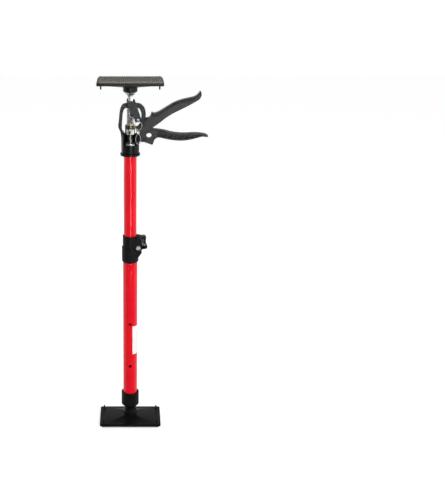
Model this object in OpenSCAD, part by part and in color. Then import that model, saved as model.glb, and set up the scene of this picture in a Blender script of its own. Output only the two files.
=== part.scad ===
// Adjustable steel prop: a one-hand support stand with two telescoping tubes,
// a clamp collar, a lever-driven lift rod and two tilting pressure plates.
// Millimetres. +Z runs up the mast from the middle of the foot's rubber,
// and +X points towards the handles.

/* [Pressure plates] */
// Length of each plate
plate_l = 140; // [126:1:170]
// Width of each plate
plate_w = 84; // [78:1:92]
// Thickness of the plate's flange
flange_t = 6; // [5:0.5:8]
// Corner radius of the flange
flange_r = 4; // [2:0.5:6]
// Length of the raised pyramid's base
pyramid_l = 106; // [80:1:108]
// Width of the raised pyramid's base
pyramid_w = 74; // [44:1:74]
// Height of the pyramid above the flange
pyramid_h = 7; // [4:0.5:9]
// Outside diameter of the ball boss
boss_d = 31; // [30:0.5:34]
// Height of the ball boss above the flange
boss_h = 17.5; // [15:0.5:20]
// Chamfer round the boss's mouth
boss_chamfer = 2; // [1:0.25:2.5]

/* [Rubber pads] */
// Margin of flange left bare round the rubber
rubber_inset = 2; // [1:0.5:4]
// Height of rubber that stands proud of the flange
rubber_proud = 4.5; // [3:0.5:7]
// Depth of the tray that the rubber lies in
rubber_seat = 2; // [1:0.25:2.5]
// Pitch of the ribs across the rubber
rib_pitch = 4; // [3:0.5:6]
// Depth of the grooves between the ribs
rib_depth = 1.2; // [0.6:0.1:2]
// Diameter of the pegs that hold the rubber in the plate
peg_d = 3.2; // [2:0.2:5]
// Length of the peg that shows past the flange
peg_out = 7.5; // [4:0.5:10]
// Distance of each peg from the plate's end
peg_end = 9; // [7:0.5:10]
// Distance of each peg from the plate's long side
peg_side = 8; // [6:0.5:12]

/* [Ball joints] */
// Diameter of the two balls
ball_d = 27; // [24:0.5:27.5]
// Height of the boss's mouth past the ball's centre
mouth_h = 4.5; // [3.5:0.25:5]
// Furthest tilt of each plate
tilt_max = 45; // [30:1:45]
// Diameter of the balls' stems
stem_d = 11; // [9:0.5:11.5]

/* [Mast] */
// Outside diameter of the lower tube
lower_d = 32; // [31.5:0.1:32.5]
// Outside diameter of the upper tube
upper_d = 28; // [27.5:0.1:28.5]
// Wall of both tubes
tube_wall = 1.5; // [1.2:0.1:1.7]
// Length of the lower tube
lower_l = 377; // [340:1:500]
// Length of the upper tube
upper_l = 407; // [300:1:420]
// Length of the upper tube that shows between collar and head
mast_out = 180; // [60:1:200]
// Outside diameter of the foot sleeve
sleeve_d = 40; // [38:0.5:44]
// Length of the foot sleeve
sleeve_l = 37; // [32:1:50]
// Thickness of the foot sleeve's floor
sleeve_floor = 10; // [8:0.5:14]
// Diameter of the holes down the front of the lower tube
hole_d = 7; // [4:0.5:9]
// Height of the lowest hole above the tube's end
hole_low = 96; // [60:1:110]
// Height of the middle hole above the tube's end
hole_mid = 200; // [198:1:240]
// Distance of the top hole from the tube's top end
hole_top = 41; // [40:1:60]
// Height of the blank label
label_h = 68; // [20:1:80]
// Gap between the lowest hole and the label
label_gap = 27; // [6:1:27]
// Angle that the label wraps round the tube
label_wrap = 160; // [60:5:180]
// Thickness of the label
label_t = 0.25; // [0.15:0.05:0.4]

/* [Clamp collar] */
// Height of the whole collar
collar_h = 61; // [54:1:70]
// Height of the collar's wider part, round the lower tube
collar_low_h = 35; // [30:1:40]
// Length of lower tube that the collar covers
collar_seat = 32; // [25:0.5:32.5]
// Wall of the collar
collar_wall = 2.4; // [1.8:0.1:3.5]
// Width of the slit that the bolt closes
slit_w = 3; // [2:0.25:4]
// Distance of the front ear's face from the mast's axis
ear_front = 14; // [13:0.5:18]
// Height of the ears
ear_h = 44; // [34:1:46]
// Diameter of the clamp bolt
bolt_d = 6; // [5:0.5:8]
// Height of the bolt above the step of the collar
bolt_up = 1; // [0.5:0.5:6]
// Diameter of the star knob
knob_d = 46; // [40:1:52]
// Thickness of the star knob
knob_t = 11; // [9:1:18]
// Wall of the star knob's hollow underside
knob_wall = 2; // [1.5:0.1:3]
// Number of lobes on the star knob
knob_lobes = 5; // [4:1:7]

/* [Head] */
// Outside diameter of the head's socket
socket_d = 38.5; // [37:0.5:42]
// Outside diameter of the lip at the socket's mouth
lip_d = 43; // [41:0.5:47]
// Depth that the upper tube goes into the socket
socket_depth = 22; // [16:0.5:22]
// Thickness of the loop and the web, front to back
web_t = 14; // [13:0.5:14.4]
// Width of the fixed handle, front to back
handle_w = 18; // [14:0.5:22]
// Diameter of the hole that the prop hangs by
hang_d = 11.6; // [8:0.2:12]
// Thickness of the trigger's side walls
cheek_t = 2; // [1.5:0.1:3]
// Angle that the trigger turns when it is squeezed
squeeze = 26; // [15:1:26]
// Diameter of the trigger's pivot pin
pivot_d = 6; // [4:0.5:7]
// Diameter of the pin that lifts the collet
drive_d = 4; // [3:0.25:4.5]

/* [Lift rod] */
// Width across the flats of the lift rod
rod_af = 11; // [10:0.25:11.2]
// Length of rod that shows between the head and the ball's stem
rod_out = 14.5; // [14:0.5:40]
// Travel of the rod
rod_travel = 190; // [100:1:190]
// Outside diameter of the drive collet
collet_d = 22; // [20:0.5:22.4]
// Number of turns of the drive spring
spring_turns = 14; // [8:1:16]
// Wire diameter of the drive spring
spring_wire = 1.1; // [0.8:0.1:1.4]
// Diameter of the pull wire
pull_d = 1.7; // [1.2:0.1:2]
// Thickness of the release plate
release_t = 1.6; // [1:0.1:2]

/* [Hidden] */
$fn = 64;

// Clearances
fit = 0.05;      // radial, a part seated in another
slide = 0.08;    // radial, a part that runs in another
play = 0.3;      // between faces of parts that move past each other
cut = 1;         // overshoot of every cut

// Levels up the mast
ball_z = rubber_proud + flange_t + boss_h - mouth_h;
ball_r = ball_d / 2;
stem_r = stem_d / 2;
boss_r = boss_d / 2;
boss_shoulder_h = mouth_h - boss_chamfer;
neck_needed = boss_r * sin(tilt_max) + boss_shoulder_h * cos(tilt_max);
neck_h = ceil(2 * (neck_needed + play)) / 2;
sleeve_z = ball_z + neck_h;
lower_z = sleeve_z + sleeve_floor;
lower_top = lower_z + lower_l;
collar_z = lower_top - collar_seat;
collar_top = collar_z + collar_h;
head_z = collar_top + mast_out;
upper_top = head_z + socket_depth;
upper_z = upper_top - upper_l;
lower_r = lower_d / 2;
lower_bore = lower_r - tube_wall;
upper_r = upper_d / 2;
upper_bore = upper_r - tube_wall;

// Head, measured from the socket's mouth
lip_h = 7;
floor_h = 24.2;
crown_h = 113;
// The loop as drawn: up its left side, and down its right side from the crown
loop_left_drawn = [
    [-19, 40], [-20.5, 51], [-25, 62], [-25.2, 69], [-24.2, 77], [-23.4, 86],
    [-22.6, 95], [-21, 103], [-18, 110], [-13, 114]
];
loop_right_drawn = [
    [12, 115.5], [20, 114.2], [25.5, 110.8], [29.8, 105.5], [32.5, 98], [33, 90], [33, 76]
];
drawn_h = loop_right_drawn[0][1];
loop_foot = 52; // level above which it stretches to the crown's height
function tall(z) =
    z < loop_foot ? z : loop_foot + (z - loop_foot) * (crown_h - loop_foot) / (drawn_h - loop_foot);
function tall_line(p) = [for (q = p) [q[0], tall(q[1])]];
crown_under = tall(106.5);
crown_shift = crown_h - drawn_h;
pivot = [30, 67];
drive = [15, 57.5];
hang = [40, 44];
web_y = web_t / 2;
cheek_in = web_y + 0.4;
cheek_out = cheek_in + cheek_t;
handle_y = handle_w / 2;
rod_corner = rod_af / sqrt(3);
rod_hole = rod_corner + 0.35;
bush_r = rod_corner + 1.9;
socket_r = socket_d / 2;
pocket_r = 15.5;
collet_r = collet_d / 2;
collet_z = head_z + 58;
collet_ring_h = 8;
finger_h = 11.5;
seat_t = 1;
spring_z = collet_z + collet_ring_h + seat_t;
spring_top = head_z + crown_under;
rod_shoulder = head_z + crown_h + rod_out;
head_ball_z = rod_shoulder + neck_h;
face_z = head_ball_z + ball_z;
rod_tail = 18;
rod_bottom = head_z + floor_h - rod_travel - rod_tail;

// Clamp bolt, along Y beside the upper tube
bolt_x = upper_r + bolt_d / 2 + 0.8;
bolt_z = collar_z + collar_low_h + bolt_up;
washer_t = 1.6;
knob_gap = 0.6;  // between the star knob and the collar's wider part
knob_y = lower_r + collar_wall + knob_gap;
ear_back = knob_y - play - washer_t;

// ---- shared shapes ----

// Points of a smooth curve through a list of points
function knot(p, i) = p[max(0, min(len(p) - 1, i))];
function on_curve(a, b, c, d, t) =
    0.5 * (2 * b + (c - a) * t + (2 * a - 5 * b + 4 * c - d) * t * t
    + (3 * b - a - 3 * c + d) * t * t * t);
function curve(p, n = 4) = [
    for (i = [0 : len(p) - 2])
        for (k = [0 : n - 1])
            on_curve(knot(p, i - 1), knot(p, i), knot(p, i + 1), knot(p, i + 2), k / n),
    p[len(p) - 1]
];
// Points of a smooth closed curve
function ring_curve(p, n = 4) = [
    for (i = [0 : len(p) - 1])
        for (k = [0 : n - 1])
            let (m = len(p))
                on_curve(p[(i + m - 1) % m], p[i], p[(i + 1) % m], p[(i + 2) % m], k / n)
];
// Points of an arc
function arc(c, r, a0, a1, n = 8) = [
    for (k = [0 : n]) c + r * [cos(a0 + (a1 - a0) * k / n), sin(a0 + (a1 - a0) * k / n)]
];
function unit(v) = v / norm(v);
// An open line of points moved to its left by d
function shifted(p, d) = [
    for (i = [0 : len(p) - 1])
        let (t = unit(knot(p, i + 1) - knot(p, i - 1)))
            p[i] + d * [-t[1], t[0]]
];

// An outline in X and Z, extruded along Y from y0 to y1
module side(p, y0, y1) {
    translate([0, y1, 0])
        rotate([90, 0, 0])
            linear_extrude(y1 - y0) polygon(p);
}
// A round bar along Y
module bar_y(x, z, r, y0, y1) {
    translate([x, y1, z])
        rotate([90, 0, 0]) cylinder(h = y1 - y0, r = r);
}
// A tube or ring
module ring(r_out, r_in, h) {
    difference() {
        cylinder(h = h, r = r_out);
        translate([0, 0, -cut]) cylinder(h = h + 2 * cut, r = r_in);
    }
}
// A hexagonal bar with two corners on the Y axis
module hex_bar(af, h) {
    rotate([0, 0, 30]) cylinder(h = h, r = af / sqrt(3), $fn = 6);
}
// A flat slab with rounded corners
module slab(l, w, r, h) {
    linear_extrude(h) {
        square([l - 2 * r, w], center = true);
        square([l, w - 2 * r], center = true);
        for (x = [-1, 1], y = [-1, 1])
            translate([x * (l / 2 - r), y * (w / 2 - r)]) circle(r);
    }
}
// Wire swept along a closed route
module loop_wire(route, r, sides = 8) {
    n = len(route);
    rings = [
        for (i = [0 : n - 1])
            let (
                t = unit(route[(i + 1) % n] - route[(i + n - 1) % n]),
                side_way = unit(cross(t, [0, 1, 0])),
                up_way = cross(side_way, t)
            )
                for (k = [0 : sides - 1])
                    route[i] + r * (cos(360 * k / sides) * side_way
                    + sin(360 * k / sides) * up_way)
    ];
    faces = [
        for (i = [0 : n - 1])
            for (k = [0 : sides - 1])
                let (j = (i + 1) % n, m = (k + 1) % sides)
                    [i * sides + k, i * sides + m, j * sides + m, j * sides + k]
    ];
    polyhedron(rings, faces);
}

// ---- pressure plates, drawn as the foot stands ----

peg_x = plate_l / 2 - peg_end;
peg_y = plate_w / 2 - peg_side;
flange_z = rubber_proud;
flange_top = flange_z + flange_t;

module each_peg() {
    for (x = [-1, 1], y = [-1, 1])
        translate([x * peg_x, y * peg_y, 0]) children();
}
module plate_shape() {
    base = 0.4;
    boss_foot = boss_d / sqrt(2);
    difference() {
        union() {
            translate([0, 0, flange_z]) slab(plate_l, plate_w, flange_r, flange_t);
            hull() {
                translate([0, 0, flange_top - base / 2])
                    cube([pyramid_l, pyramid_w, base], center = true);
                translate([0, 0, flange_top + pyramid_h - base / 2])
                    cube([boss_foot, boss_foot, base], center = true);
            }
            translate([0, 0, flange_z + cut])
                cylinder(h = flange_t + boss_h - boss_chamfer - cut, r = boss_r);
            translate([0, 0, flange_top + boss_h - boss_chamfer])
                cylinder(h = boss_chamfer, r1 = boss_r, r2 = boss_r - boss_chamfer * 0.9);
        }
        // tray for the rubber
        translate([0, 0, flange_z - cut])
            slab(
                plate_l - 2 * rubber_inset + 2 * fit,
                plate_w - 2 * rubber_inset + 2 * fit,
                rubber_r + fit,
                rubber_seat + cut
            );
        // ball socket
        translate([0, 0, ball_z]) sphere(r = ball_r + play);
        each_peg()
            cylinder(h = flange_top + cut, r = peg_d / 2 + fit);
    }
}
rubber_r = 7;
module rubber_shape() {
    l = plate_l - 2 * rubber_inset;
    w = plate_w - 2 * rubber_inset;
    edge = 1.5;
    ribs = floor((l / 2 - rubber_r) / rib_pitch);
    difference() {
        union() {
            translate([0, 0, edge]) slab(l, w, rubber_r, rubber_proud + rubber_seat - edge);
            slab(l - 2 * edge, w - 2 * edge, rubber_r - edge, edge);
        }
        // grooves between the ribs; one rib stands at the middle
        for (i = [-ribs : ribs - 1])
            translate([(i + 0.5) * rib_pitch, 0, 0])
                cube([rib_pitch * 0.3, w + 2 * cut, 2 * rib_depth], center = true);
    }
    each_peg()
        translate([0, 0, rubber_proud + rubber_seat])
            cylinder(h = flange_t - rubber_seat + peg_out, r = peg_d / 2);
}
module foot_plate() {
    color("#1c1c1d") plate_shape();
}
module foot_rubber() {
    color("#6f6d6a") rubber_shape();
}
module at_head_face() {
    translate([0, 0, face_z]) rotate([180, 0, 0]) children();
}
module head_plate() {
    color("#1c1c1d") at_head_face() plate_shape();
}
module head_rubber() {
    color("#8a8885") at_head_face() rubber_shape();
}

// ---- ball joints ----

thread_r = stem_r - 1;
nut_h = 6;
module foot_ball() {
    color("#232324") {
        translate([0, 0, ball_z]) sphere(r = ball_r);
        translate([0, 0, ball_z]) cylinder(h = neck_h - play, r = stem_r);
        translate([0, 0, ball_z])
            cylinder(h = neck_h + sleeve_floor + play + nut_h + 1, r = thread_r);
    }
}
module foot_nut() {
    color("#9a9a98")
        translate([0, 0, lower_z + play])
            difference() {
                cylinder(h = nut_h, r = thread_r + 4.5, $fn = 6);
                translate([0, 0, -cut]) cylinder(h = nut_h + 2 * cut, r = thread_r + fit);
            }
}
rod_pin_r = 3;
rod_pin_h = 12;
module head_ball() {
    color("#c9c9c6")
        difference() {
            union() {
                translate([0, 0, head_ball_z]) sphere(r = ball_r);
                translate([0, 0, rod_shoulder + play])
                    cylinder(h = neck_h - play, r = stem_r);
            }
            translate([0, 0, rod_shoulder - cut])
                cylinder(h = rod_pin_h + cut + play, r = rod_pin_r + slide);
        }
}

// ---- lower mast ----

sleeve_taper = 5;
sleeve_neck_r = sleeve_d / 2 - sleeve_taper;
module foot_sleeve() {
    color("#262627")
        translate([0, 0, sleeve_z])
            difference() {
                union() {
                    cylinder(h = 1, r1 = sleeve_neck_r - 1, r2 = sleeve_neck_r);
                    translate([0, 0, 1])
                        cylinder(h = sleeve_taper, r1 = sleeve_neck_r, r2 = sleeve_d / 2);
                    translate([0, 0, 1 + sleeve_taper])
                        cylinder(h = sleeve_l - 1 - sleeve_taper, r = sleeve_d / 2);
                }
                translate([0, 0, sleeve_floor])
                    cylinder(h = sleeve_l, r = lower_r + fit);
                translate([0, 0, -cut])
                    cylinder(h = sleeve_floor + 2 * cut, r = thread_r + slide);
            }
}
hole_levels = [hole_low, hole_mid, lower_l - hole_top];
module lower_tube() {
    color("#e5202f")
        translate([0, 0, lower_z])
            difference() {
                ring(lower_r, lower_bore, lower_l);
                for (z = hole_levels)
                    bar_y(0, z, hole_d / 2, -lower_r - cut, 0);
            }
}
label_from = -71;
module blank_label() {
    color("#f4f4f2")
        translate([0, 0, lower_z + hole_low + hole_d / 2 + label_gap])
            rotate([0, 0, label_from])
                rotate_extrude(angle = label_wrap)
                    translate([lower_r + fit, 0]) square([label_t, label_h]);
}

// ---- clamp collar, bolt and knob ----

collar_low_r = lower_r + collar_wall;
collar_up_r = upper_r + collar_wall;
collar_round = 3;
ear_x = bolt_x + bolt_d / 2 + 4.5;
ear_corner = 5;
ear_slope = 8;
ear_above = 20.5;
ear_z = bolt_z + ear_above - ear_h;
head_af = bolt_d * 1.7;
head_t = bolt_d * 0.67;
ear_recess = 1;
module clamp_collar() {
    color("#2b2b2b")
        difference() {
            union() {
                translate([0, 0, collar_z])
                    cylinder(h = collar_round, r1 = collar_low_r - 2, r2 = collar_low_r);
                translate([0, 0, collar_z + collar_round])
                    cylinder(h = collar_low_h - collar_round, r = collar_low_r);
                translate([0, 0, collar_z + collar_low_h])
                    cylinder(h = collar_h - collar_low_h, r = collar_up_r);
                // the two ears, rounded on the outside
                intersection() {
                    side(
                        [
                            [0, ear_z],
                            [ear_x - ear_slope, ear_z],
                            [ear_x, ear_z + ear_slope * 1.4],
                            each arc([ear_x - ear_corner, ear_z + ear_h - ear_corner],
                                ear_corner, 0, 90),
                            [0, ear_z + ear_h]
                        ],
                        -ear_front, ear_back
                    );
                    translate([0, 0, ear_z])
                        linear_extrude(ear_h)
                            polygon([
                                [0, -collar_up_r], [ear_x * 0.45, -ear_front], [ear_x, -ear_front],
                                [ear_x, ear_back], [ear_x * 0.45, ear_back], [0, collar_up_r]
                            ]);
                }
            }
            // seat of the lower tube, and the bore that grips the upper tube
            translate([0, 0, collar_z - cut])
                cylinder(h = collar_seat + fit + cut, r = lower_r + fit);
            translate([0, 0, collar_z])
                cylinder(h = collar_h + cut, r = upper_r + slide);
            // slit that the bolt closes
            translate([0, -slit_w / 2, ear_z - cut])
                cube([ear_x + cut, slit_w, collar_top - ear_z + 2 * cut]);
            bar_y(bolt_x, bolt_z, bolt_d / 2 + 0.2, -ear_front - cut, ear_back + cut);
            // hollow that keeps the bolt's head from turning
            translate([bolt_x, -ear_front + ear_recess, bolt_z])
                rotate([90, 0, 0])
                    cylinder(h = ear_recess + head_t, r = (head_af + 0.4) / sqrt(3), $fn = 6);
        }
}
bolt_tail = knob_y + knob_t + 2;
module clamp_bolt() {
    color("#c4c4c2") {
        bar_y(bolt_x, bolt_z, bolt_d / 2, -ear_front, bolt_tail);
        translate([bolt_x, -ear_front + ear_recess, bolt_z])
            rotate([90, 0, 0])
                cylinder(h = head_t, r = head_af / sqrt(3), $fn = 6);
    }
}
module washer_y(y0, t) {
    difference() {
        bar_y(bolt_x, bolt_z, bolt_d, y0, y0 + t);
        bar_y(bolt_x, bolt_z, bolt_d / 2 + 0.15, y0 - cut, y0 + t + cut);
    }
}
module bolt_washer() {
    color("#b9b9b6") washer_y(ear_back, washer_t / 2);
}
module knob_washer() {
    color("#b9b9b6") washer_y(ear_back + washer_t / 2, washer_t / 2);
}
lobe_r = knob_d * 0.11;
lobe_reach = knob_d / 2 - lobe_r;
notch_r = knob_d * 0.5;
nut_pocket_r = bolt_d;
// Lobes with hollow notches between them, each notch tangent to its two lobes,
// the whole outline drawn in by w
function star_outline(n, w) =
    let (
        half = 180 / n,
        near = lobe_reach * cos(half),
        notch_at = near + sqrt((lobe_r + notch_r) ^ 2 - (lobe_reach * sin(half)) ^ 2),
        lean = atan2(notch_at * sin(half), notch_at * cos(half) - lobe_reach)
    )
        [for (i = [0 : n - 1])
            let (a = 360 * i / n, m = a + half)
                each [
                    each arc(lobe_reach * [cos(a), sin(a)], lobe_r - w, a - lean, a + lean, 10),
                    each arc(notch_at * [cos(m), sin(m)], notch_r + w,
                        m + 180 + (lean - half), m + 180 - (lean - half), 6)
                ]
        ];
hub_r = bolt_d * 1.4;
module knob_hollow() {
    rib_t = 1.8;
    difference() {
        polygon(star_outline(knob_lobes, knob_wall));
        circle(hub_r);
        for (i = [0 : knob_lobes - 1])
            rotate([0, 0, 360 * i / knob_lobes])
                translate([0, -rib_t / 2]) square([knob_d / 2, rib_t]);
    }
}
module clamp_knob() {
    crown_t = 3;
    turned = 29;
    color("#1e1e20")
        translate([bolt_x, knob_y, bolt_z])
            rotate([-90, 0, 0])
                rotate([0, 0, turned])
                    difference() {
                        linear_extrude(knob_t) polygon(star_outline(knob_lobes, 0));
                        translate([0, 0, -cut])
                            linear_extrude(knob_t - crown_t + cut) knob_hollow();
                        translate([0, 0, -cut])
                            cylinder(h = knob_t + 2 * cut, r = nut_pocket_r + fit);
                    }
}
module knob_nut() {
    color("#b08d3c")
        translate([bolt_x, knob_y, bolt_z])
            rotate([-90, 0, 0])
                ring(nut_pocket_r, bolt_d / 2 + slide, knob_t);
}

// ---- upper mast ----

module upper_tube() {
    color("#e5202f")
        translate([0, 0, upper_z])
            ring(upper_r, upper_bore, upper_l);
}
glide_rim = 4;
glide_in = 16;
glide_wall = 2.5;
module tube_glide() {
    color("#35353a")
        translate([0, 0, upper_z - glide_rim])
            difference() {
                union() {
                    cylinder(h = glide_rim, r = lower_bore - slide);
                    cylinder(h = glide_rim + glide_in, r = upper_bore - fit);
                }
                translate([0, 0, -cut])
                    cylinder(h = glide_rim + glide_in + 2 * cut, r = upper_bore - glide_wall);
            }
}

// ---- head: housing with socket, loop and fixed handle ----

// Outline of the loop and the web, from the socket's left side round
loop_left = [each tall_line(loop_left_drawn), [-6, crown_h]];
loop_right = tall_line(loop_right_drawn);
handle_top = [
    [50.5, 58.5], [62, 57], [74.5, 54.6], [87, 51.2], [101, 49], [117, 48.3],
    [137.5, 49.2], [153.5, 48], [162.5, 45.8]
];
handle_end = [[165.6, 43.8], [165.8, 42.4], [163.5, 41.6]];
handle_under = [
    [152.5, 42.6], [138, 38.4], [122, 34.9], [106, 33.8], [90.5, 34.9],
    [75, 37.6], [62, 40.2], [56, 39], [51.8, 35.2], [49.6, 29]
];
guard_tip = [[48.2, 25.2], [46.4, 24.4]];
guard_under = [[38, 27.2], [29, 30.2], [16, 30.4]];
housing_outline = [
    each curve(loop_left),
    each curve(loop_right),
    [37, 68],
    [44, 62],
    each curve(handle_top),
    each curve(handle_end),
    each curve(handle_under),
    each guard_tip,
    each curve(guard_under)
];
// The window through the loop
window_outline = ring_curve(tall_line([
    [-17.6, 58], [-17.2, 72], [-16.2, 87], [-14.6, 98], [-11, 104.4], [-3, 106.5],
    [9, 106.5], [17, 105.6], [21.4, 100], [23.6, 92], [23.2, 82], [20.6, 72],
    [20.2, 60], [17, 52.5], [0, 51], [-14, 52]
]), 3);
handle_panel = [
    each curve([[64, 53.4], [75, 51.4], [87, 48], [101, 45.8], [117, 45.2], [137.5, 46.1], [150, 45.4]]),
    each curve([[150, 44.6], [137.5, 41.8], [122, 38.3], [106, 37.1], [90.5, 38.2], [75, 41], [65, 43.3]])
];
panel_ribs = [72, 84, 96, 108, 120, 132];
module housing_flat() {
    far = 170;
    web_end = 60;
    grip_start = 72;
    intersection() {
        side(housing_outline, -handle_y, handle_y);
        // the web is thinner than the grip, so that the trigger closes over it
        linear_extrude(crown_h + cut)
            polygon([
                [-far, -web_y], [web_end, -web_y], [grip_start, -handle_y], [far, -handle_y],
                [far, handle_y], [grip_start, handle_y], [web_end, web_y], [-far, web_y]
            ]);
    }
}
module head_housing() {
    web_core = 2.5;
    slope_h = 38;
    slope_top = 50;
    boss_crown_r = bush_r + 1.3;
    lip_edge = 1.2;
    lip_slope = 2;
    pocket_h = 32;
    front_x = [-13.5, 15];
    ridge = [2, 11];
    color("#3a3a3b")
        translate([0, 0, head_z])
            difference() {
                union() {
                    housing_flat();
                    // round socket, sloped off front and back towards the loop
                    intersection() {
                        cylinder(h = slope_top, r = socket_r);
                        rotate([0, 0, 90])
                            side(
                                [
                                    [-socket_r, 0], [socket_r, 0], [socket_r, slope_h],
                                    [web_y, slope_top], [-web_y, slope_top], [-socket_r, slope_h]
                                ],
                                -socket_r, socket_r
                            );
                    }
                    cylinder(h = lip_edge, r1 = lip_d / 2 - lip_edge, r2 = lip_d / 2);
                    translate([0, 0, lip_edge])
                        cylinder(h = lip_h - lip_edge - lip_slope, r = lip_d / 2);
                    translate([0, 0, lip_h - lip_slope])
                        cylinder(h = lip_slope, r1 = lip_d / 2, r2 = socket_r);
                    // thick crown round the rod
                    translate([0, 0, crown_under]) cylinder(h = crown_h - crown_under, r = boss_crown_r);
                    // ridge that the release plate rocks on
                    translate([release_pivot[0], 0, crown_h - cut])
                        linear_extrude(release_pivot[1] - release_t / 2 - 0.25 - drawn_h + cut)
                            square(ridge, center = true);
                }
                side(window_outline, -socket_r - cut, socket_r + cut);
                // room for the tube, the rod, the collet and the guide plate
                translate([0, 0, -cut]) cylinder(h = socket_depth + cut, r = upper_r + fit);
                translate([0, 0, -cut]) cylinder(h = floor_h + 2 * cut, r = rod_hole);
                translate([0, 0, floor_h]) cylinder(h = pocket_h, r = pocket_r);
                translate([front_x[0], -socket_r - cut, floor_h])
                    cube([front_x[1] - front_x[0], socket_r + cut, slope_top - floor_h + cut]);
                translate([0, 0, crown_under - cut])
                    cylinder(h = crown_h - crown_under + 2 * cut, r = bush_r + fit);
                // pivot and hanging holes
                bar_y(pivot[0], pivot[1], pivot_d / 2 + fit, -web_y - cut, web_y + cut);
                bar_y(hang[0], hang[1], hang_d / 2, -web_y - cut, web_y + cut);
                // hollow sides of the grip, with cross ribs left standing
                for (s = [0, 1])
                    mirror([0, s, 0])
                        difference() {
                            side(handle_panel, web_core, handle_y + cut);
                            for (x = panel_ribs)
                                translate([x, 0, 20]) rotate([0, 12, 0]) cube([1.8, handle_y * 2, 60]);
                        }
            }
}
module guide_plate() {
    plate_t = 2.8;
    half_w = 9;
    color("#d2d2cf")
        translate([0, 0, head_z + floor_h + fit])
            difference() {
                intersection() {
                    cylinder(h = plate_t, r = pocket_r - 0.3);
                    translate([-half_w, -pocket_r, -cut])
                        cube([2 * half_w, 2 * pocket_r, plate_t + 2 * cut]);
                }
                translate([0, 0, -cut]) hex_bar(rod_af + 0.6, plate_t + 2 * cut);
            }
}
module rod_bush() {
    color("#47443f")
        translate([0, 0, head_z + crown_under])
            ring(bush_r, rod_hole - 0.2, crown_h - crown_under);
}
module pivot_pin() {
    color("#303031")
        bar_y(pivot[0], head_z + pivot[1], pivot_d / 2, -cheek_out, cheek_out);
}

// ---- trigger: a channel that straddles the web ----

trigger_top = [
    [59.5, 94.6], [69.7, 100.8], [84.3, 109.8], [96.7, 116.2], [110.2, 121], [125.6, 124.5],
    [135.5, 127], [142.5, 132], [147.6, 138.6]
];
trigger_under = [
    [150.2, 131], [145.6, 122.2], [134.3, 115.1], [120.9, 107.6], [105.3, 99.7],
    [90.7, 92.4], [76.3, 83.3], [63.8, 73.4], [53.2, 65.8], [47, 61.7]
];
trigger_seam = [[42.8, 59.6], [32.3, 54.1], [25.2, 51.9]];
trigger_back = [[25.8, 74.6], [33, 80.4], [41.6, 84.4], [44.4, 92]];
trigger_hook = [[46, 94.4], [48.4, 92.6], [52.2, 92]];
trigger_ridge = [each curve(trigger_back), each trigger_hook, each curve(trigger_top)];
trigger_roof = [
    [37, 79.6], [46, 86.4], [52.2, 88.6], [59.5, 91.2], [69.7, 97.4], [84.3, 106.4],
    [96.7, 112.9], [110.2, 117.7], [125.6, 121], [137, 123.2]
];
toe_r = 3.2;
// The trigger's outline with its upper edge lowered by d
function trigger_outline(d) = [
    each curve(trigger_under),
    each trigger_seam,
    each arc(drive, toe_r, -60, -240, 10),
    each shifted(trigger_ridge, -d)
];
// How far in and how far down each step of the rounded upper edge lies
trigger_steps = [[0, 1.6], [0.6, 0.5], [1.6, 0]];
module trigger() {
    color("#4a4a4b")
        translate([0, 0, head_z])
            difference() {
                for (s = trigger_steps)
                    side(trigger_outline(s[1]), -cheek_out + s[0], cheek_out - s[0]);
                // hollow of the channel, open below and towards the loop
                side(
                    [
                        [-5, 40], [-5, 100], [trigger_roof[0][0], 100],
                        each curve(trigger_roof),
                        [137, 105], [47, 40]
                    ],
                    -cheek_in, cheek_in
                );
                bar_y(pivot[0], pivot[1], pivot_d / 2 + slide, -cheek_out - cut, cheek_out + cut);
                bar_y(drive[0], drive[1], drive_d / 2 + fit, -cheek_out - cut, cheek_out + cut);
            }
}
module drive_pin() {
    color("#c9c9c6")
        bar_y(drive[0], head_z + drive[1], drive_d / 2, -cheek_out, cheek_out);
}

// ---- drive collet and spring ----

module drive_collet() {
    slot_w = 4.6;
    slots = 6;
    tongue = [8.5, 10, 4];
    tongue_z = head_z + drive[1] + drive_d / 2 + 0.35;
    flat_x = collet_r - 1;
    finger_z = collet_z - finger_h;
    collet_h = finger_h + collet_ring_h;
    color("#8d8061")
        difference() {
            union() {
                translate([0, 0, finger_z]) cylinder(h = collet_h, r = collet_r);
                translate([collet_r - 2, -tongue[1] / 2, tongue_z]) cube(tongue);
            }
            translate([0, 0, finger_z - cut]) cylinder(h = collet_h + 2 * cut, r = rod_hole);
            translate([0, 0, finger_z - cut]) cylinder(h = finger_h + cut, r = rod_corner + 1.6);
            for (i = [0 : slots / 2 - 1])
                rotate([0, 0, 90 + i * 360 / slots])
                    translate([-collet_r - cut, -slot_w / 2, finger_z - cut])
                        cube([2 * (collet_r + cut), slot_w, finger_h]);
            // flat that the drive pin slides up beside
            translate([flat_x, -collet_r, finger_z - cut])
                cube([2, 2 * collet_r, tongue_z - finger_z + cut]);
        }
}
module spring_seat() {
    color("#c9c9c6")
        translate([0, 0, spring_z - seat_t])
            ring(rod_corner + 3, rod_hole, seat_t);
}
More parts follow.
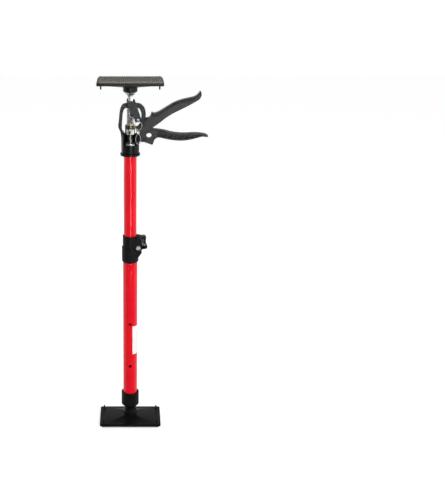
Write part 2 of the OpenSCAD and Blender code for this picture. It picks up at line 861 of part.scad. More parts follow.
module drive_spring() {
    steps = 14;
    sides = 6;
    wire_r = spring_wire / 2;
    mean_r = rod_corner + 0.5 + wire_r;
    rise = spring_top - spring_z - 2 * wire_r - 0.1;
    count = spring_turns * steps;
    rings = [
        for (i = [0 : count])
            let (
                a = 360 * i / steps,
                out = [cos(a), sin(a), 0],
                centre = mean_r * out + [0, 0, spring_z + wire_r + 0.05 + rise * i / count]
            )
                for (k = [0 : sides - 1])
                    centre + wire_r * (cos(360 * k / sides) * out + [0, 0, sin(360 * k / sides)])
    ];
    walls = [
        for (i = [0 : count - 1])
            for (k = [0 : sides - 1])
                let (m = (k + 1) % sides)
                    [i * sides + k, (i + 1) * sides + k, (i + 1) * sides + m, i * sides + m]
    ];
    start_cap = [for (k = [0 : sides - 1]) k];
    end_cap = [for (k = [sides - 1 : -1 : 0]) count * sides + k];
    color("#d8d8d5") polyhedron(rings, [each walls, start_cap, end_cap]);
}

// ---- release plate and pull wire ----

release_pivot = [8.6, 118.6];
release_front = -13;
release_back = release_front + release_t;
eye = [16.6, 81.2];
eye_r = 2.4;
release_outline = [
    each arc([0.7, 124.2], 4.9, -170, -10, 10),
    [7.4, 126.4], [9, 126], [10.6, 121.5], [14, 112], [20, 94],
    each arc([19.2, 81], 4.4, 15, -90, 6),
    each arc([12.6, 80.2], 3.6, -90, -200, 6),
    [1, 98], [-5, 112], [-7.6, 120.5], [-7.4, 126.6], [-5.6, 127.2]
];
module release_plate() {
    color("#23282d")
        translate([0, 0, head_z + crown_shift])
            difference() {
                union() {
                    side(release_outline, release_front, release_back);
                    // tongue bent back over the crown, round the rod
                    translate([1, 0, release_pivot[1] - release_t / 2])
                        linear_extrude(release_t)
                            polygon([
                                [-8, release_front], [8.6, release_front], [9.2, -7], [9.2, 6],
                                [5, 9.6], [-4.6, 9.6], [-8, 6]
                            ]);
                }
                translate([0, 0, release_pivot[1] - 3]) cylinder(h = 6, r = rod_corner + 0.6);
                bar_y(eye[0], eye[1], eye_r, release_front - cut, release_back + cut);
            }
}
pull_r = pull_d / 2;
wire_apart = pull_r + 0.1;
wire_x = 16.9;
ferrule_at = [53, 59];
wire_route = ring_curve([
    [16.6, -12.2, 80.7], [15, -10.35, 79.3], [12.4, -10.35, 76.3], [10.2, -12.2, 73],
    [9.2, -14.2, 68.5], [11, -15.6, 64], [14.8, -16.4, 60.8],
    [wire_x - wire_apart, -16.5, 58.6], [wire_x - wire_apart, -16.5, 53.4], [15, -16.7, 51],
    [12.4, -17.2, 46.5], [11.5, -17.5, 41], [12.8, -17.5, 34], [wire_x, -17.5, 30.4],
    [21, -17.5, 34], [22.3, -17.5, 41], [21.4, -17.2, 46.5], [18.8, -16.7, 51],
    [wire_x + wire_apart, -16.5, 53.4], [wire_x + wire_apart, -16.5, 58.6],
    [19, -16.4, 60.8], [22.8, -15.6, 64], [24.8, -15, 70], [23.2, -14.8, 75.4], [18.6, -14.3, 79.2]
], 3);
module pull_wire() {
    color("#c8c8c4") translate([0, 0, head_z + crown_shift]) loop_wire(wire_route, pull_r);
}
module wire_ferrule() {
    bore = pull_r + 0.2;
    wall = 0.9;
    h = ferrule_at[1] - ferrule_at[0];
    color("#d5d5d2")
        translate([wire_x, -16.5, head_z + crown_shift + ferrule_at[0]])
            difference() {
                for (s = [-1, 1])
                    translate([s * wire_apart, 0, 0]) cylinder(h = h, r = bore + wall);
                for (s = [-1, 1])
                    translate([s * wire_apart, 0, -cut]) cylinder(h = h + 2 * cut, r = bore);
                translate([-wire_apart, -bore / 2, -cut])
                    cube([2 * wire_apart, bore, h + 2 * cut]);
            }
}

// ---- lift rod ----

module lift_rod() {
    color("#e4e4e2") {
        translate([0, 0, rod_bottom]) hex_bar(rod_af, rod_shoulder - rod_bottom);
        translate([0, 0, rod_shoulder - cut]) cylinder(h = rod_pin_h + cut, r = rod_pin_r);
    }
}
module rod_stop() {
    stop_h = 8;
    color("#3b3b3d")
        translate([0, 0, rod_bottom])
            difference() {
                cylinder(h = stop_h, r = upper_bore - play);
                translate([0, 0, -cut]) hex_bar(rod_af + 2 * fit, stop_h + 2 * cut);
            }
}

foot_plate();
foot_rubber();
foot_ball();
foot_nut();
foot_sleeve();
lower_tube();
blank_label();
clamp_collar();
clamp_bolt();
bolt_washer();
knob_washer();
clamp_knob();
knob_nut();
upper_tube();
tube_glide();
head_housing();
guide_plate();
rod_bush();
pivot_pin();
trigger();
drive_pin();
drive_collet();
spring_seat();
drive_spring();
release_plate();
pull_wire();
wire_ferrule();
lift_rod();
rod_stop();
head_ball();
head_plate();
head_rubber();
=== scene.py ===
from math import radians

import bmesh
import bpy
from mathutils import Matrix, Vector


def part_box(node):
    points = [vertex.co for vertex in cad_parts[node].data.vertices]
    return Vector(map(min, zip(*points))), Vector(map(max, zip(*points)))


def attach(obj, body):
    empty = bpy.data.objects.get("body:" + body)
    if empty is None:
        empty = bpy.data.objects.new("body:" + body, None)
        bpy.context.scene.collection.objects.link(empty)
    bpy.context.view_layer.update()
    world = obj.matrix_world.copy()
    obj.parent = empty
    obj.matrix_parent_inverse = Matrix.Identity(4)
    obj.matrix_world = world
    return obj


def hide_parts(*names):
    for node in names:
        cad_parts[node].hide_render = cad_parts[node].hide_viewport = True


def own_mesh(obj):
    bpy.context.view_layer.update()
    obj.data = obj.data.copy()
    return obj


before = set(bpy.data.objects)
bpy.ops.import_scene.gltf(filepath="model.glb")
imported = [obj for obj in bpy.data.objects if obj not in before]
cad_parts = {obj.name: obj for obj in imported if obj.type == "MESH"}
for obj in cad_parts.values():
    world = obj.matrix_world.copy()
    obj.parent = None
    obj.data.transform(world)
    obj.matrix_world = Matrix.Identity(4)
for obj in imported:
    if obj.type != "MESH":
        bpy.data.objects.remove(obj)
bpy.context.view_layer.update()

# ---- studio ----
# A pale floor and a white surround, with a tall narrow lamp in front and soft
# lamps to the sides. The camera stands before the foot and looks down at it.


def linear(hex_colour):
    """An sRGB hex colour as linear red, green, blue and 1."""
    parts = [int(hex_colour[i : i + 2], 16) / 255 for i in (1, 3, 5)]
    return [p / 12.92 if p <= 0.04045 else ((p + 0.055) / 1.055) ** 2.4 for p in parts] + [1]


def add(tree, kind, settings=None, **links):
    """One node. Settings are its properties or its sockets' values, links feed its sockets."""
    made = tree.nodes.new("ShaderNode" + kind)
    for key, value in (settings or {}).items():
        if isinstance(key, str) and key in made.bl_rna.properties:
            setattr(made, key, value)
        else:
            made.inputs[key].default_value = value
    for key, source in links.items():
        name = key.replace("_", " ")
        socket = made.inputs[int(key[1:])] if key[1:].isdigit() else made.inputs[name]
        tree.links.new(source, socket)
    return made


def new_material(name):
    """An empty node material of that name, and its tree."""
    made = bpy.data.materials.new(name)
    made.use_nodes = True
    made.node_tree.nodes.clear()
    return made, made.node_tree


scene = bpy.context.scene
scene.view_settings.view_transform = "Standard"

# The surround is plain white to the eye and a soft half light on the object.
# Glossy faces show a white sweep behind and beside the object instead, and a
# room that dims towards its ceiling and its front.
half_light = 0.5
dim = 0.1
front_y, side_y = -0.7, 0.1
sweep_top, ceiling_z = 0.12, 0.8

surround = bpy.data.worlds.new("surround")
surround.use_nodes = True
tree = surround.node_tree
tree.nodes.clear()
rays = add(tree, "LightPath")
seen = add(
    tree, "Math", {"operation": "MAXIMUM"},
    i0=rays.outputs["Is Camera Ray"], i1=rays.outputs["Is Transmission Ray"],
)
seen = add(
    tree, "Math", {"operation": "MAXIMUM"},
    i0=seen.outputs[0], i1=rays.outputs["Is Glossy Ray"],
)
aim = add(tree, "SeparateXYZ", i0=add(tree, "TexCoord").outputs["Generated"])
fade = add(
    tree, "MapRange", {"From Min": sweep_top, "From Max": ceiling_z, "To Min": 1.0, "To Max": 0.0},
    i0=aim.outputs["Z"],
)
fade = add(tree, "Math", {"operation": "POWER", 1: 2.0}, i0=fade.outputs[0])
ceiling = add(tree, "Math", {"operation": "MULTIPLY_ADD", 1: 1 - dim, 2: dim}, i0=fade.outputs[0])
front = add(
    tree, "MapRange", {"From Min": front_y, "From Max": side_y, "To Min": dim, "To Max": 1.0},
    i0=aim.outputs["Y"],
)
room = add(tree, "Math", {"operation": "MULTIPLY"}, i0=ceiling.outputs[0], i1=front.outputs[0])
mirrored = add(
    tree, "Mix", {"data_type": "FLOAT", 2: 1.0},
    i0=rays.outputs["Is Glossy Ray"], i3=room.outputs[0],
)
level = add(
    tree, "Mix", {"data_type": "FLOAT", 2: half_light},
    i0=seen.outputs[0], i3=mirrored.outputs[0],
)
sky = add(tree, "Background", {"Color": linear("#FFFFFF")}, Strength=level.outputs[0])
add(tree, "OutputWorld", Surface=sky.outputs[0])
scene.world = surround

# The floor lies just under the pads' studs. To the eye it is white and keeps the
# object's shadow. Glossy faces see it white, dim in front, with one strip of
# light that starts about a metre out and lies a little to the right.
floor_half, floor_z = 6.0, -0.0004
floor_glow = 0.56
strip_aside, strip_half, strip_gain = 0.2, 0.045, 22.0
strip_start, strip_full = -0.95, -1.2

floor_mesh = bpy.data.meshes.new("floor")
bm = bmesh.new()
bmesh.ops.create_grid(
    bm, x_segments=1, y_segments=1, size=floor_half, matrix=Matrix.Translation((0, 0, floor_z)),
)
bm.to_mesh(floor_mesh)
bm.free()
floor = bpy.data.objects.new("floor", floor_mesh)
scene.collection.objects.link(floor)
floor_paint, tree = new_material("matt_white_floor")
rays = add(tree, "LightPath")
matt = add(tree, "BsdfDiffuse", {"Color": linear("#EDEDED")})
glow_level = add(
    tree, "Math", {"operation": "MULTIPLY", 1: floor_glow}, i0=rays.outputs["Is Camera Ray"],
)
glow = add(tree, "Emission", {"Color": linear("#FFFFFF")}, Strength=glow_level.outputs[0])
lit = add(tree, "AddShader", i0=matt.outputs[0], i1=glow.outputs[0])
place = add(tree, "TexCoord").outputs["Object"]
away = add(tree, "VectorMath", {"operation": "NORMALIZE"}, i0=place)
away = add(tree, "SeparateXYZ", i0=away.outputs[0])
front = add(
    tree, "MapRange", {"From Min": front_y, "From Max": side_y, "To Min": dim, "To Max": 1.0},
    i0=away.outputs["Y"],
)
aside = add(
    tree, "Math", {"operation": "COMPARE", 1: strip_aside, 2: strip_half}, i0=away.outputs["X"],
)
ahead = add(
    tree, "MapRange",
    {"From Min": strip_start, "From Max": strip_full, "To Min": 0.0, "To Max": 1.0},
    i0=add(tree, "SeparateXYZ", i0=place).outputs["Y"],
)
strip = add(tree, "Math", {"operation": "MULTIPLY"}, i0=aside.outputs[0], i1=ahead.outputs[0])
mirrored = add(
    tree, "Math", {"operation": "MULTIPLY_ADD", 1: strip_gain},
    i0=strip.outputs[0], i2=front.outputs[0],
)
white = add(tree, "Emission", {"Color": linear("#FFFFFF")}, Strength=mirrored.outputs[0])
seen = add(
    tree, "Math", {"operation": "MAXIMUM"},
    i0=rays.outputs["Is Glossy Ray"], i1=rays.outputs["Is Transmission Ray"],
)
paint = add(tree, "MixShader", i0=seen.outputs[0], i1=lit.outputs[0], i2=white.outputs[0])
add(tree, "OutputMaterial", Surface=paint.outputs[0])
floor_mesh.materials.append(floor_paint)

mid_mast = Vector((0.02, 0, 0.45))
for name, place, size, watts in (
    ("strip_lamp", (0.55, -2.1, 1.15), (0.06, 1.5), 20),
    ("right_lamp", (1.9, -0.7, 0.9), (0.7, 1.5), 13),
    ("left_lamp", (-1.9, -1.1, 1.0), (0.6, 1.2), 2),
    ("back_lamp", (-1.6, 1.2, 0.7), (0.8, 1.2), 8),
):
    data = bpy.data.lights.new(name, "AREA")
    data.shape = "RECTANGLE"
    data.size, data.size_y = size
    data.energy = watts
    lamp = bpy.data.objects.new(name, data)
    lamp.location = place
    lamp.rotation_euler = (Vector(place) - mid_mast).to_track_quat("Z", "Y").to_euler()
    scene.collection.objects.link(lamp)

looks_down = 16.19
camera_data = bpy.data.cameras.new("camera")
camera_data.lens = 63.83
camera_data.shift_x = 0.1846
camera_data.shift_y = -0.08
camera = bpy.data.objects.new("camera", camera_data)
camera.location = (0, -1.861, 1.051)
camera.rotation_euler = (radians(90 - looks_down), 0, 0)
scene.collection.objects.link(camera)
scene.camera = camera

# ---- pressure plates ----
# The two plates are moulded from glass-filled nylon: a flat flange, a low
# pyramid and a boss that snaps over the ball. Their edges are rounded a little.

same_point = 0.000003  # vertices nearer than this are one
flat_to = radians(0.3)  # faces that turn by less than this become one
crease = radians(32)  # past this an edge is shaded sharp


def round_over(bm, edges, width, segments):
    """Rounds those edges of a mesh."""
    bmesh.ops.bevel(
        bm, geom=edges, offset=width, affect="EDGES", segments=segments,
        profile=0.5, material=-1, clamp_overlap=True,
    )


def sharper_than(bm, degrees):
    """The edges at which a mesh turns by more than that angle."""
    return [e for e in bm.edges if e.is_manifold and e.calc_face_angle(0) > radians(degrees)]


def softened(node, width=0.0006, segments=2, choose=None):
    """A merged copy of a CAD node's mesh with its sharp edges rounded over."""
    bm = bmesh.new()
    bm.from_mesh(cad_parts[node].data)
    bmesh.ops.remove_doubles(bm, verts=bm.verts, dist=same_point)
    bmesh.ops.dissolve_limit(bm, angle_limit=flat_to, verts=bm.verts, edges=bm.edges)
    edges = sharper_than(bm, 30)
    if choose:
        edges = [e for e in edges if choose(e)]
    round_over(bm, edges, width, segments)
    return bm


def link(bm, name, body, slot, materials, *replaced):
    """Makes the finished mesh an object that rides on its body."""
    mesh = bpy.data.meshes.new(name)
    bm.to_mesh(mesh)
    bm.free()
    piece = bpy.data.objects.new(name, mesh)
    scene.collection.objects.link(piece)
    for m in materials:
        mesh.materials.append(m)
    mesh.shade_smooth()
    mesh.set_sharp_from_angle(angle=crease)
    flat = piece.modifiers.new("flat_faces", "WEIGHTED_NORMAL")
    flat.keep_sharp = True
    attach(piece, body)
    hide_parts(*replaced)
    return piece


def dress(material, *nodes):
    """Gives CAD nodes a finish."""
    for n in nodes:
        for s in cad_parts[n].material_slots:
            s.material = material


def matt_skin(name, colour, worn, rough, grain_mm, bump, sheen, seam=False):
    """Nylon, film or blackened steel: a fine grain, a little paler where it has been handled."""
    made, tree = new_material(name)
    place = add(tree, "TexCoord").outputs["Object"]
    grain = add(
        tree, "TexNoise", {"Scale": 1000 / grain_mm, "Detail": 3.0, "Roughness": 0.6}, Vector=place,
    )
    # handling shows in patches of about 25 mm
    cloud = add(tree, "TexNoise", {"Scale": 38.0, "Detail": 5.0, "Roughness": 0.6}, Vector=place)
    patch = add(tree, "ValToRGB", i0=cloud.outputs[0])
    for stop, at, tint in zip(patch.color_ramp.elements, (0.36, 0.74), (colour, worn)):
        stop.position, stop.color = at, linear(tint)
    shine = add(
        tree, "MapRange",
        {"From Min": 0.3, "From Max": 0.7, "To Min": rough - 0.06, "To Max": rough + 0.08},
        i0=cloud.outputs[0],
    )
    height = grain.outputs[0]
    if seam:
        # the line where the two halves of the mould met, along the middle
        across = add(tree, "SeparateXYZ", i0=place).outputs["Y"]
        aside = add(tree, "Math", {"operation": "ABSOLUTE"}, i0=across)
        ridge = add(
            tree, "MapRange",
            {"From Min": 0.0, "From Max": 0.00025, "To Min": 2.5, "To Max": 0.0},
            i0=aside.outputs[0],
        )
        both = add(tree, "Math", {"operation": "ADD"}, i0=height, i1=ridge.outputs[0])
        height = both.outputs[0]
    skin = add(tree, "Bump", {"Strength": bump, "Distance": 0.0002}, Height=height)
    face = add(
        tree, "BsdfPrincipled", {"IOR": 1.53, "Specular IOR Level": sheen},
        Base_Color=patch.outputs[0], Roughness=shine.outputs[0], Normal=skin.outputs[0],
    )
    add(tree, "OutputMaterial", Surface=face.outputs[0])
    return made


# black nylon from a spark-eroded mould: a soft grey sheen on faces that lie flat.
# The real grain is about 0.1 mm, and it is drawn coarser here so that it shows
plate_nylon = matt_skin(
    "black_nylon_spark_grain", "#0D0D0E", "#131314", rough=0.4, grain_mm=0.9, bump=0.2, sheen=0.22,
)
for node, body in (("foot_plate", "foot"), ("head_plate", "head_pad")):
    tray = node.replace("plate", "tray")
    link(softened(node), tray, body, "black_plastic", [plate_nylon], node)

# ---- rubber pads ----
# Each pad is a block of grey rubber in the plate's tray, held by four black pegs
# pushed through the flange. Its face and sides are moulded in small square studs.

# moulded rubber: chalky grey studs, dusted where they are handled, with painted shade darkening the
# gaps between them
rubber, tree = new_material("grey_moulded_rubber")
place = add(tree, "TexCoord").outputs["Object"]
dust = add(tree, "TexNoise", {"Scale": 160.0, "Detail": 5.0, "Roughness": 0.65}, Vector=place)
tone = add(tree, "ValToRGB", i0=dust.outputs[0])
for stop, at, tint in zip(tone.color_ramp.elements, (0.35, 0.68), ("#8A857E", "#AAA49C")):
    stop.position, stop.color = at, linear(tint)
# rows of studs: a 4 mm pitch along the pad, as its ribs, and 3 and 2.5 mm the
# other ways. A stud's wall starts at 0.3 of the pitch and ends at 0.46
axes = add(tree, "SeparateXYZ", i0=place)
gap = None
for axis, pitch in (("X", 0.004), ("Y", 0.003), ("Z", 0.0025)):
    step = add(tree, "Math", {"operation": "PINGPONG", 1: pitch / 2}, i0=axes.outputs[axis])
    deep = add(
        tree, "MapRange",
        {"From Min": pitch * 0.3, "From Max": pitch * 0.46, "To Min": 0.0, "To Max": 1.0},
        i0=step.outputs[0],
    )
    if gap:
        deep = add(tree, "Math", {"operation": "MAXIMUM"}, i0=gap.outputs[0], i1=deep.outputs[0])
    gap = deep
# painted shade: the gaps between the studs are darkened towards #504D49
dark = add(
    tree, "Mix", {"data_type": "RGBA", 7: linear("#504D49")}, i0=gap.outputs[0], i6=tone.outputs[0],
)
pores = add(tree, "TexNoise", {"Scale": 1400.0, "Detail": 2.0}, Vector=place)
tall = add(tree, "Math", {"operation": "SUBTRACT"}, i0=pores.outputs[0], i1=gap.outputs[0])
skin = add(tree, "Bump", {"Strength": 0.5, "Distance": 0.0004}, Height=tall.outputs[0])
face = add(
    tree, "BsdfPrincipled", {"IOR": 1.52, "Roughness": 0.72, "Specular IOR Level": 0.25},
    Base_Color=dark.outputs[2], Normal=skin.outputs[0],
)
add(tree, "OutputMaterial", Surface=face.outputs[0])

block_h = 0.0066  # what stands further in than this is a peg
for node, body, inwards in (("foot_rubber", "foot", 1), ("head_rubber", "head_pad", -1)):
    bm = softened(node, width=0.0003, segments=1)
    low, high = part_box(node)
    outer = low[2] if inwards > 0 else high[2]
    for f in bm.faces:
        f.material_index = int(inwards * (f.calc_center_median().z - outer) > block_h)
    link(bm, node.replace("rubber", "pad"), body, "pad_rubber", [rubber, plate_nylon], node)

# ---- ball joints ----
# The foot's ball is blackened steel on a threaded stem, held by a nut inside the
# sleeve. The head's ball is turned and bright zinc plated, and spins on the rod.


def bright_metal(name, colour, dark, rough, streak, worn=None, worn_below=0.0):
    """Plated or drawn steel: fine streaks along the length, a little tarnish."""
    made, tree = new_material(name)
    place = add(tree, "TexCoord").outputs["Object"]
    drawn = add(tree, "Mapping", {"Scale": streak}, Vector=place)
    lines = add(
        tree, "TexNoise", {"Scale": 1.0, "Detail": 4.0, "Roughness": 0.6}, Vector=drawn.outputs[0],
    )
    tone = add(tree, "ValToRGB", i0=lines.outputs[0])
    for stop, at, tint in zip(tone.color_ramp.elements, (0.3, 0.7), (dark, colour)):
        stop.position, stop.color = at, linear(tint)
    colour_out = tone.outputs[0]
    if worn:
        # rubbed through to bright steel below this height
        height = add(tree, "SeparateXYZ", i0=place).outputs["Z"]
        bare = add(
            tree, "MapRange",
            {
                "From Min": worn_below, "From Max": worn_below - 0.0008,
                "To Min": 0.0, "To Max": 1.0,
            },
            i0=height,
        )
        mixed = add(
            tree, "Mix", {"data_type": "RGBA", 7: linear(worn)}, i0=bare.outputs[0], i6=colour_out,
        )
        colour_out = mixed.outputs[2]
    shine = add(
        tree, "MapRange",
        {"From Min": 0.3, "From Max": 0.7, "To Min": rough + 0.08, "To Max": rough - 0.05},
        i0=lines.outputs[0],
    )
    skin = add(tree, "Bump", {"Strength": 0.08, "Distance": 0.0001}, Height=lines.outputs[0])
    face = add(
        tree, "BsdfPrincipled", {"Metallic": 1.0},
        Base_Color=colour_out, Roughness=shine.outputs[0], Normal=skin.outputs[0],
    )
    add(tree, "OutputMaterial", Surface=face.outputs[0])
    return made


# bright zinc plate: pale silver that blurs what it mirrors, faintly mottled
zinc = bright_metal(
    "bright_zinc_plate", "#E2E2DF", "#B5B5B2", rough=0.4, streak=(600, 600, 600),
)
# steel blackened hot in oil: almost no shine, so the ball reads as a dark knuckle
ball_black = matt_skin(
    "blackened_ball_steel", "#0B0B0C", "#131314", rough=0.6, grain_mm=0.3, bump=0.05, sheen=0.08,
)
dress(ball_black, "foot_ball")
dress(zinc, "foot_nut", "head_ball")

# ---- foot sleeve ----
# A black nylon socket that the lower tube is pushed into. It tapers to the
# foot's stem, and its rim is rounded by the mould.

# the same nylon from a finer mould: flat black, with a faint edge light. Its
# grain is drawn at 0.6 mm, coarser than the real one, so that it shows
sleeve_nylon = matt_skin(
    "black_nylon_fine_grain", "#121213", "#181819", rough=0.5, grain_mm=0.6, bump=0.2, sheen=0.1,
)
link(
    softened("foot_sleeve", 0.0008), "foot_socket", "lower_mast", "black_plastic",
    [sleeve_nylon], "foot_sleeve",
)

# ---- lower tube and its label ----
# Drawn steel tube, powder coated red, with a faint orange peel. The label is
# white film, left blank.

# powder coat: a clean strong red under a glossy skin, so that lamps show as
# narrow upright lines. Its orange peel is about 1.5 mm, its scuffs run upright
powder, tree = new_material("red_powder_coat")
place = add(tree, "TexCoord").outputs["Object"]
peel = add(tree, "TexNoise", {"Scale": 700.0, "Detail": 2.0}, Vector=place)
tide = add(tree, "TexNoise", {"Scale": 24.0, "Detail": 3.0}, Vector=place)
tone = add(tree, "ValToRGB", i0=tide.outputs[0])
for stop, at, tint in zip(tone.color_ramp.elements, (0.35, 0.7), ("#E01022", "#EA1628")):
    stop.position, stop.color = at, linear(tint)
rubbed = add(tree, "Mapping", {"Scale": (900, 900, 14)}, Vector=place)
scuffs = add(
    tree, "TexNoise", {"Scale": 1.0, "Detail": 4.0, "Roughness": 0.6}, Vector=rubbed.outputs[0],
)
shine = add(
    tree, "MapRange", {"From Min": 0.35, "From Max": 0.7, "To Min": 0.08, "To Max": 0.14},
    i0=scuffs.outputs[0],
)
skin = add(tree, "Bump", {"Strength": 0.03, "Distance": 0.0002}, Height=peel.outputs[0])
face = add(
    tree, "BsdfPrincipled", {"IOR": 1.5, "Specular IOR Level": 0.3},
    Base_Color=tone.outputs[0], Roughness=shine.outputs[0], Normal=skin.outputs[0],
)
add(tree, "OutputMaterial", Surface=face.outputs[0])
link(
    softened("lower_tube", 0.0004), "outer_tube", "lower_mast", "red_paint",
    [powder], "lower_tube",
)

# vinyl film: an even white with a slight gloss
film = matt_skin(
    "white_label_film", "#EFEFED", "#F7F7F5", rough=0.35, grain_mm=1.5, bump=0.05, sheen=0.3,
)
dress(film, "blank_label")

# ---- clamp collar ----
# Black nylon, slit down the side between its ears, so that the bolt can draw
# it tight on the upper tube. It grips the lower tube's end for good.

link(
    softened("clamp_collar", 0.0009), "collar", "lower_mast", "black_plastic",
    [sleeve_nylon], "clamp_collar",
)

# ---- clamp bolt and star knob ----
# A zinc plated M6 bolt lies in the front ear, with two washers behind the back
# one. The five-lobed knob is gloss black nylon, hollow beneath, on a brass insert.

# zinc that has gone dull from handling: a mid grey head that hardly mirrors
dull_zinc = bright_metal(
    "dull_zinc_plate", "#B4B4B2", "#8A8A88", rough=0.5, streak=(600, 600, 600),
)
link(
    softened("clamp_bolt", 0.0004), "ear_bolt", "lower_mast", "zinc_steel",
    [dull_zinc], "clamp_bolt",
)
dress(zinc, "bolt_washer", "knob_washer")
# turned brass: warm yellow, with rings left by the tool
brass = bright_metal("turned_brass", "#D2B15E", "#A8873E", rough=0.3, streak=(300, 900, 300))
dress(brass, "knob_nut")
# nylon from a polished mould: deep black, with crisp light lines on its lobes
knob_nylon = matt_skin(
    "gloss_black_nylon", "#0E0E0F", "#141415", rough=0.16, grain_mm=1.0, bump=0.04, sheen=0.9,
)
link(
    softened("clamp_knob", 0.0007, 3), "star_knob", "knob", "knob_plastic",
    [knob_nylon], "clamp_knob",
)

# ---- upper tube and its guide ----
# The same red tube a size smaller, which slides in the collar. A nylon ring
# pushed into its lower end guides it inside the lower tube.

link(
    softened("upper_tube", 0.0004), "inner_tube", "upper_mast", "red_paint",
    [powder], "upper_tube",
)
dress(sleeve_nylon, "tube_glide")

# ---- head housing ----
# One nylon moulding: the socket on the tube, the loop round the rod and the
# fixed handle. Its grain is dull, and the socket is polished.

# glass-filled nylon: dark grey and dull, with the mould's parting line. Its grain
# is drawn at 0.8 mm, coarser than the real one, so that it shows
head_nylon = matt_skin(
    "dark_grey_nylon", "#272727", "#313131",
    rough=0.42, grain_mm=0.8, bump=0.3, sheen=0.2, seam=True,
)
# the same nylon where the mould was polished: black, with soft wide lights
gloss_nylon = matt_skin(
    "polished_black_nylon", "#0D0D0E", "#141415", rough=0.3, grain_mm=0.5, bump=0.06, sheen=0.14,
)
# the socket reaches 18 mm past the tube's end, and everything within this
# radius of the mast's axis up to there belongs to it
socket_r = 0.0225
socket_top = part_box("upper_tube")[1][2] + 0.018
bm = softened("head_housing", 0.0009)
for f in bm.faces:
    c = f.calc_center_median()
    f.material_index = int(c.z < socket_top and c.x * c.x + c.y * c.y < socket_r**2)
link(bm, "housing", "upper_mast", "head_plastic", [head_nylon, gloss_nylon], "head_housing")

# ---- fittings in the housing ----
# The zinc plated guide plate and the nylon bush keep the rod straight. The
# trigger turns on a phosphated pin.

# phosphated steel: a dark mineral grey
phosphate = bright_metal(
    "phosphated_steel", "#3A3A3A", "#242424", rough=0.5, streak=(700, 700, 700),
)
dress(zinc, "guide_plate")
dress(sleeve_nylon, "rod_bush")
dress(phosphate, "pivot_pin")

# ---- trigger ----
# A nylon channel, open below, that straddles the web. Its cheeks are grained and carry a band of
# painted shade below the back, and its rounded back is polished black where the hand presses.

# the housing's nylon, a shade paler. Its grain is drawn at 0.7 mm so that it shows
lever_nylon = matt_skin(
    "grey_nylon_lever_with_painted_shade", "#2C2C2C", "#363636", rough=0.4, grain_mm=0.7, bump=0.3, sheen=0.2,
)
lever_low, lever_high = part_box("trigger")
lever_l, lever_h = lever_high[0] - lever_low[0], lever_high[2] - lever_low[2]
cheek = lever_high[1]

# the back's height at stations along the lever, for the band of painted shade that reaches below it
stations = 14
back_line = {}
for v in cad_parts["trigger"].data.vertices:
    step = round((v.co.x - lever_low[0]) / lever_l * stations) / stations
    back_line[step] = max(back_line.get(step, 0.0), v.co.z)


def on_the_back(edge):
    """Whether an edge lies between a cheek and the outside of the lever's back."""
    faces_up = max(f.normal.z for f in edge.link_faces) > 0.35
    return faces_up and all(abs(abs(v.co.y) - cheek) < 0.0001 for v in edge.verts)


# painted shade: the cheeks darken to #0C0C0D for 5 mm below the back and fade back by 9 mm, for the
# shade where the back rounds over
shade_band_full, shade_band_end = 0.005, 0.009
tree = lever_nylon.node_tree
face = next(n for n in tree.nodes if n.type == "BSDF_PRINCIPLED")
lever_place = next(n for n in tree.nodes if n.type == "TEX_COORD").outputs["Object"]
axes = add(tree, "SeparateXYZ", i0=lever_place)
along = add(
    tree, "MapRange",
    {"From Min": lever_low[0], "From Max": lever_high[0], "To Min": 0.0, "To Max": 1.0},
    i0=axes.outputs["X"],
)
line = add(tree, "FloatCurve", i1=along.outputs[0])
points = line.mapping.curves[0].points
heights = [(step, (top - lever_low[2]) / lever_h) for step, top in sorted(back_line.items())]
points[0].location, points[1].location = heights[0], heights[-1]
for step, share in heights[1:-1]:
    points.new(step, share)
line.mapping.update()
back_z = add(
    tree, "MapRange",
    {"From Min": 0.0, "From Max": 1.0, "To Min": lever_low[2], "To Max": lever_high[2]},
    i0=line.outputs[0],
)
below = add(tree, "Math", {"operation": "SUBTRACT"}, i0=back_z.outputs[0], i1=axes.outputs["Z"])
shade_band = add(
    tree, "MapRange",
    {"From Min": shade_band_end, "From Max": shade_band_full, "To Min": 0.0, "To Max": 1.0},
    i0=below.outputs[0],
)
worn = face.inputs["Base Color"].links[0].from_socket
# painted shade mixed into the cheeks' colour along that band
band = add(
    tree, "Mix", {"data_type": "RGBA", 7: linear("#0C0C0D")}, i0=shade_band.outputs[0], i6=worn,
)
tree.links.new(band.outputs[2], face.inputs["Base Color"])

bm = softened("trigger", 0.0016, 4, choose=on_the_back)
round_over(bm, sharper_than(bm, 40), 0.0005, 2)
# what faces up, apart from the cheeks, is the polished back
for f in bm.faces:
    f.material_index = int(f.normal.z > 0.2 and abs(f.normal.y) < 0.97)
link(bm, "lever", "trigger_lever", "trigger_plastic", [lever_nylon, gloss_nylon], "trigger")
dress(zinc, "drive_pin")

# ---- drive collet and spring ----
# A slotted ring of yellow passivated steel. The lever's pin lifts it and it
# grips the rod. A zinc plated coil spring pushes it back down.

# yellow passivated zinc: a brownish brass tint, rubbed to bare steel lower down
collet_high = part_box("drive_collet")[1]
collet_r, collet_top = collet_high[1], collet_high[2]
passivated = bright_metal(
    "yellow_zinc_plate", "#7A6A4C", "#4C4029", rough=0.36, streak=(500, 500, 500),
    worn="#EDEDEA", worn_below=collet_top - 0.008,
)
bm = softened("drive_collet", 0.0003)
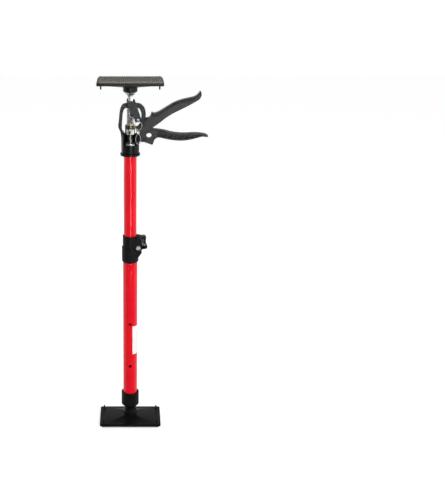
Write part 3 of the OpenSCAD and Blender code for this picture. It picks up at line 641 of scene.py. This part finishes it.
# painted shade: the upright walls of the bore and the slots take the dark phosphated steel, to
# stand for the shade inside them
for f in bm.faces:
    c = f.calc_center_median()
    inside = c.x * c.x + c.y * c.y < (collet_r - 0.0008) ** 2
    f.material_index = int(abs(f.normal.z) < 0.6 and inside)
link(bm, "slotted_collet", "collet", "yellow_zinc", [passivated, phosphate], "drive_collet")
dress(zinc, "spring_seat")


def rounded_wire(node):
    """A CAD wire's mesh in quads, so that it shades as a round wire."""
    bm = bmesh.new()
    bm.from_mesh(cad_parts[node].data)
    bmesh.ops.remove_doubles(bm, verts=bm.verts, dist=same_point)
    bmesh.ops.join_triangles(
        bm, faces=bm.faces, cmp_seam=False, cmp_sharp=False, cmp_uvs=False, cmp_vcols=False,
        cmp_materials=False, angle_face_threshold=radians(40), angle_shape_threshold=radians(60),
    )
    return bm


# drawn spring wire: grey with darker draw marks, so that the coils stand apart
spring_wire = bright_metal(
    "spring_wire", "#C9C9C6", "#6D6D6A", rough=0.25, streak=(300, 300, 1200),
)
coil = link(
    rounded_wire("drive_spring"), "coil_spring", "upper_mast", "spring_steel",
    [spring_wire], "drive_spring",
)
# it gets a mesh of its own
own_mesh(coil)

# ---- release plate and pull wire ----
# A blued steel strap that rocks on the crown and jams the rod. A bent wire
# hangs from its eye, closed by a pressed ferrule, and pulls it free.

# blued steel: a dark slate with a cool, even sheen
blued = matt_skin(
    "blackened_steel", "#151B22", "#1F262E", rough=0.3, grain_mm=0.8, bump=0.08, sheen=0.35,
)
link(
    softened("release_plate", 0.0003), "release_strap", "release", "black_steel",
    [blued], "release_plate",
)
link(rounded_wire("pull_wire"), "wire_pull", "pull", "zinc_steel", [zinc], "pull_wire")
link(softened("wire_ferrule", 0.0002), "ferrule", "pull", "zinc_steel", [zinc], "wire_ferrule")

# ---- lift rod ----
# A drawn hexagonal bar, bright zinc plated, that carries the head's ball. A
# nylon stop on its lower end runs inside the upper tube.

# bright drawn bar: nearly white, with long draw lines along its flats
drawn_steel = bright_metal(
    "drawn_zinc_steel", "#E2E2E0", "#BDBDBA", rough=0.22, streak=(900, 900, 30),
)
link(softened("lift_rod", 0.0003), "hexagonal_rod", "rod", "rod_steel", [drawn_steel], "lift_rod")
dress(sleeve_nylon, "rod_stop")
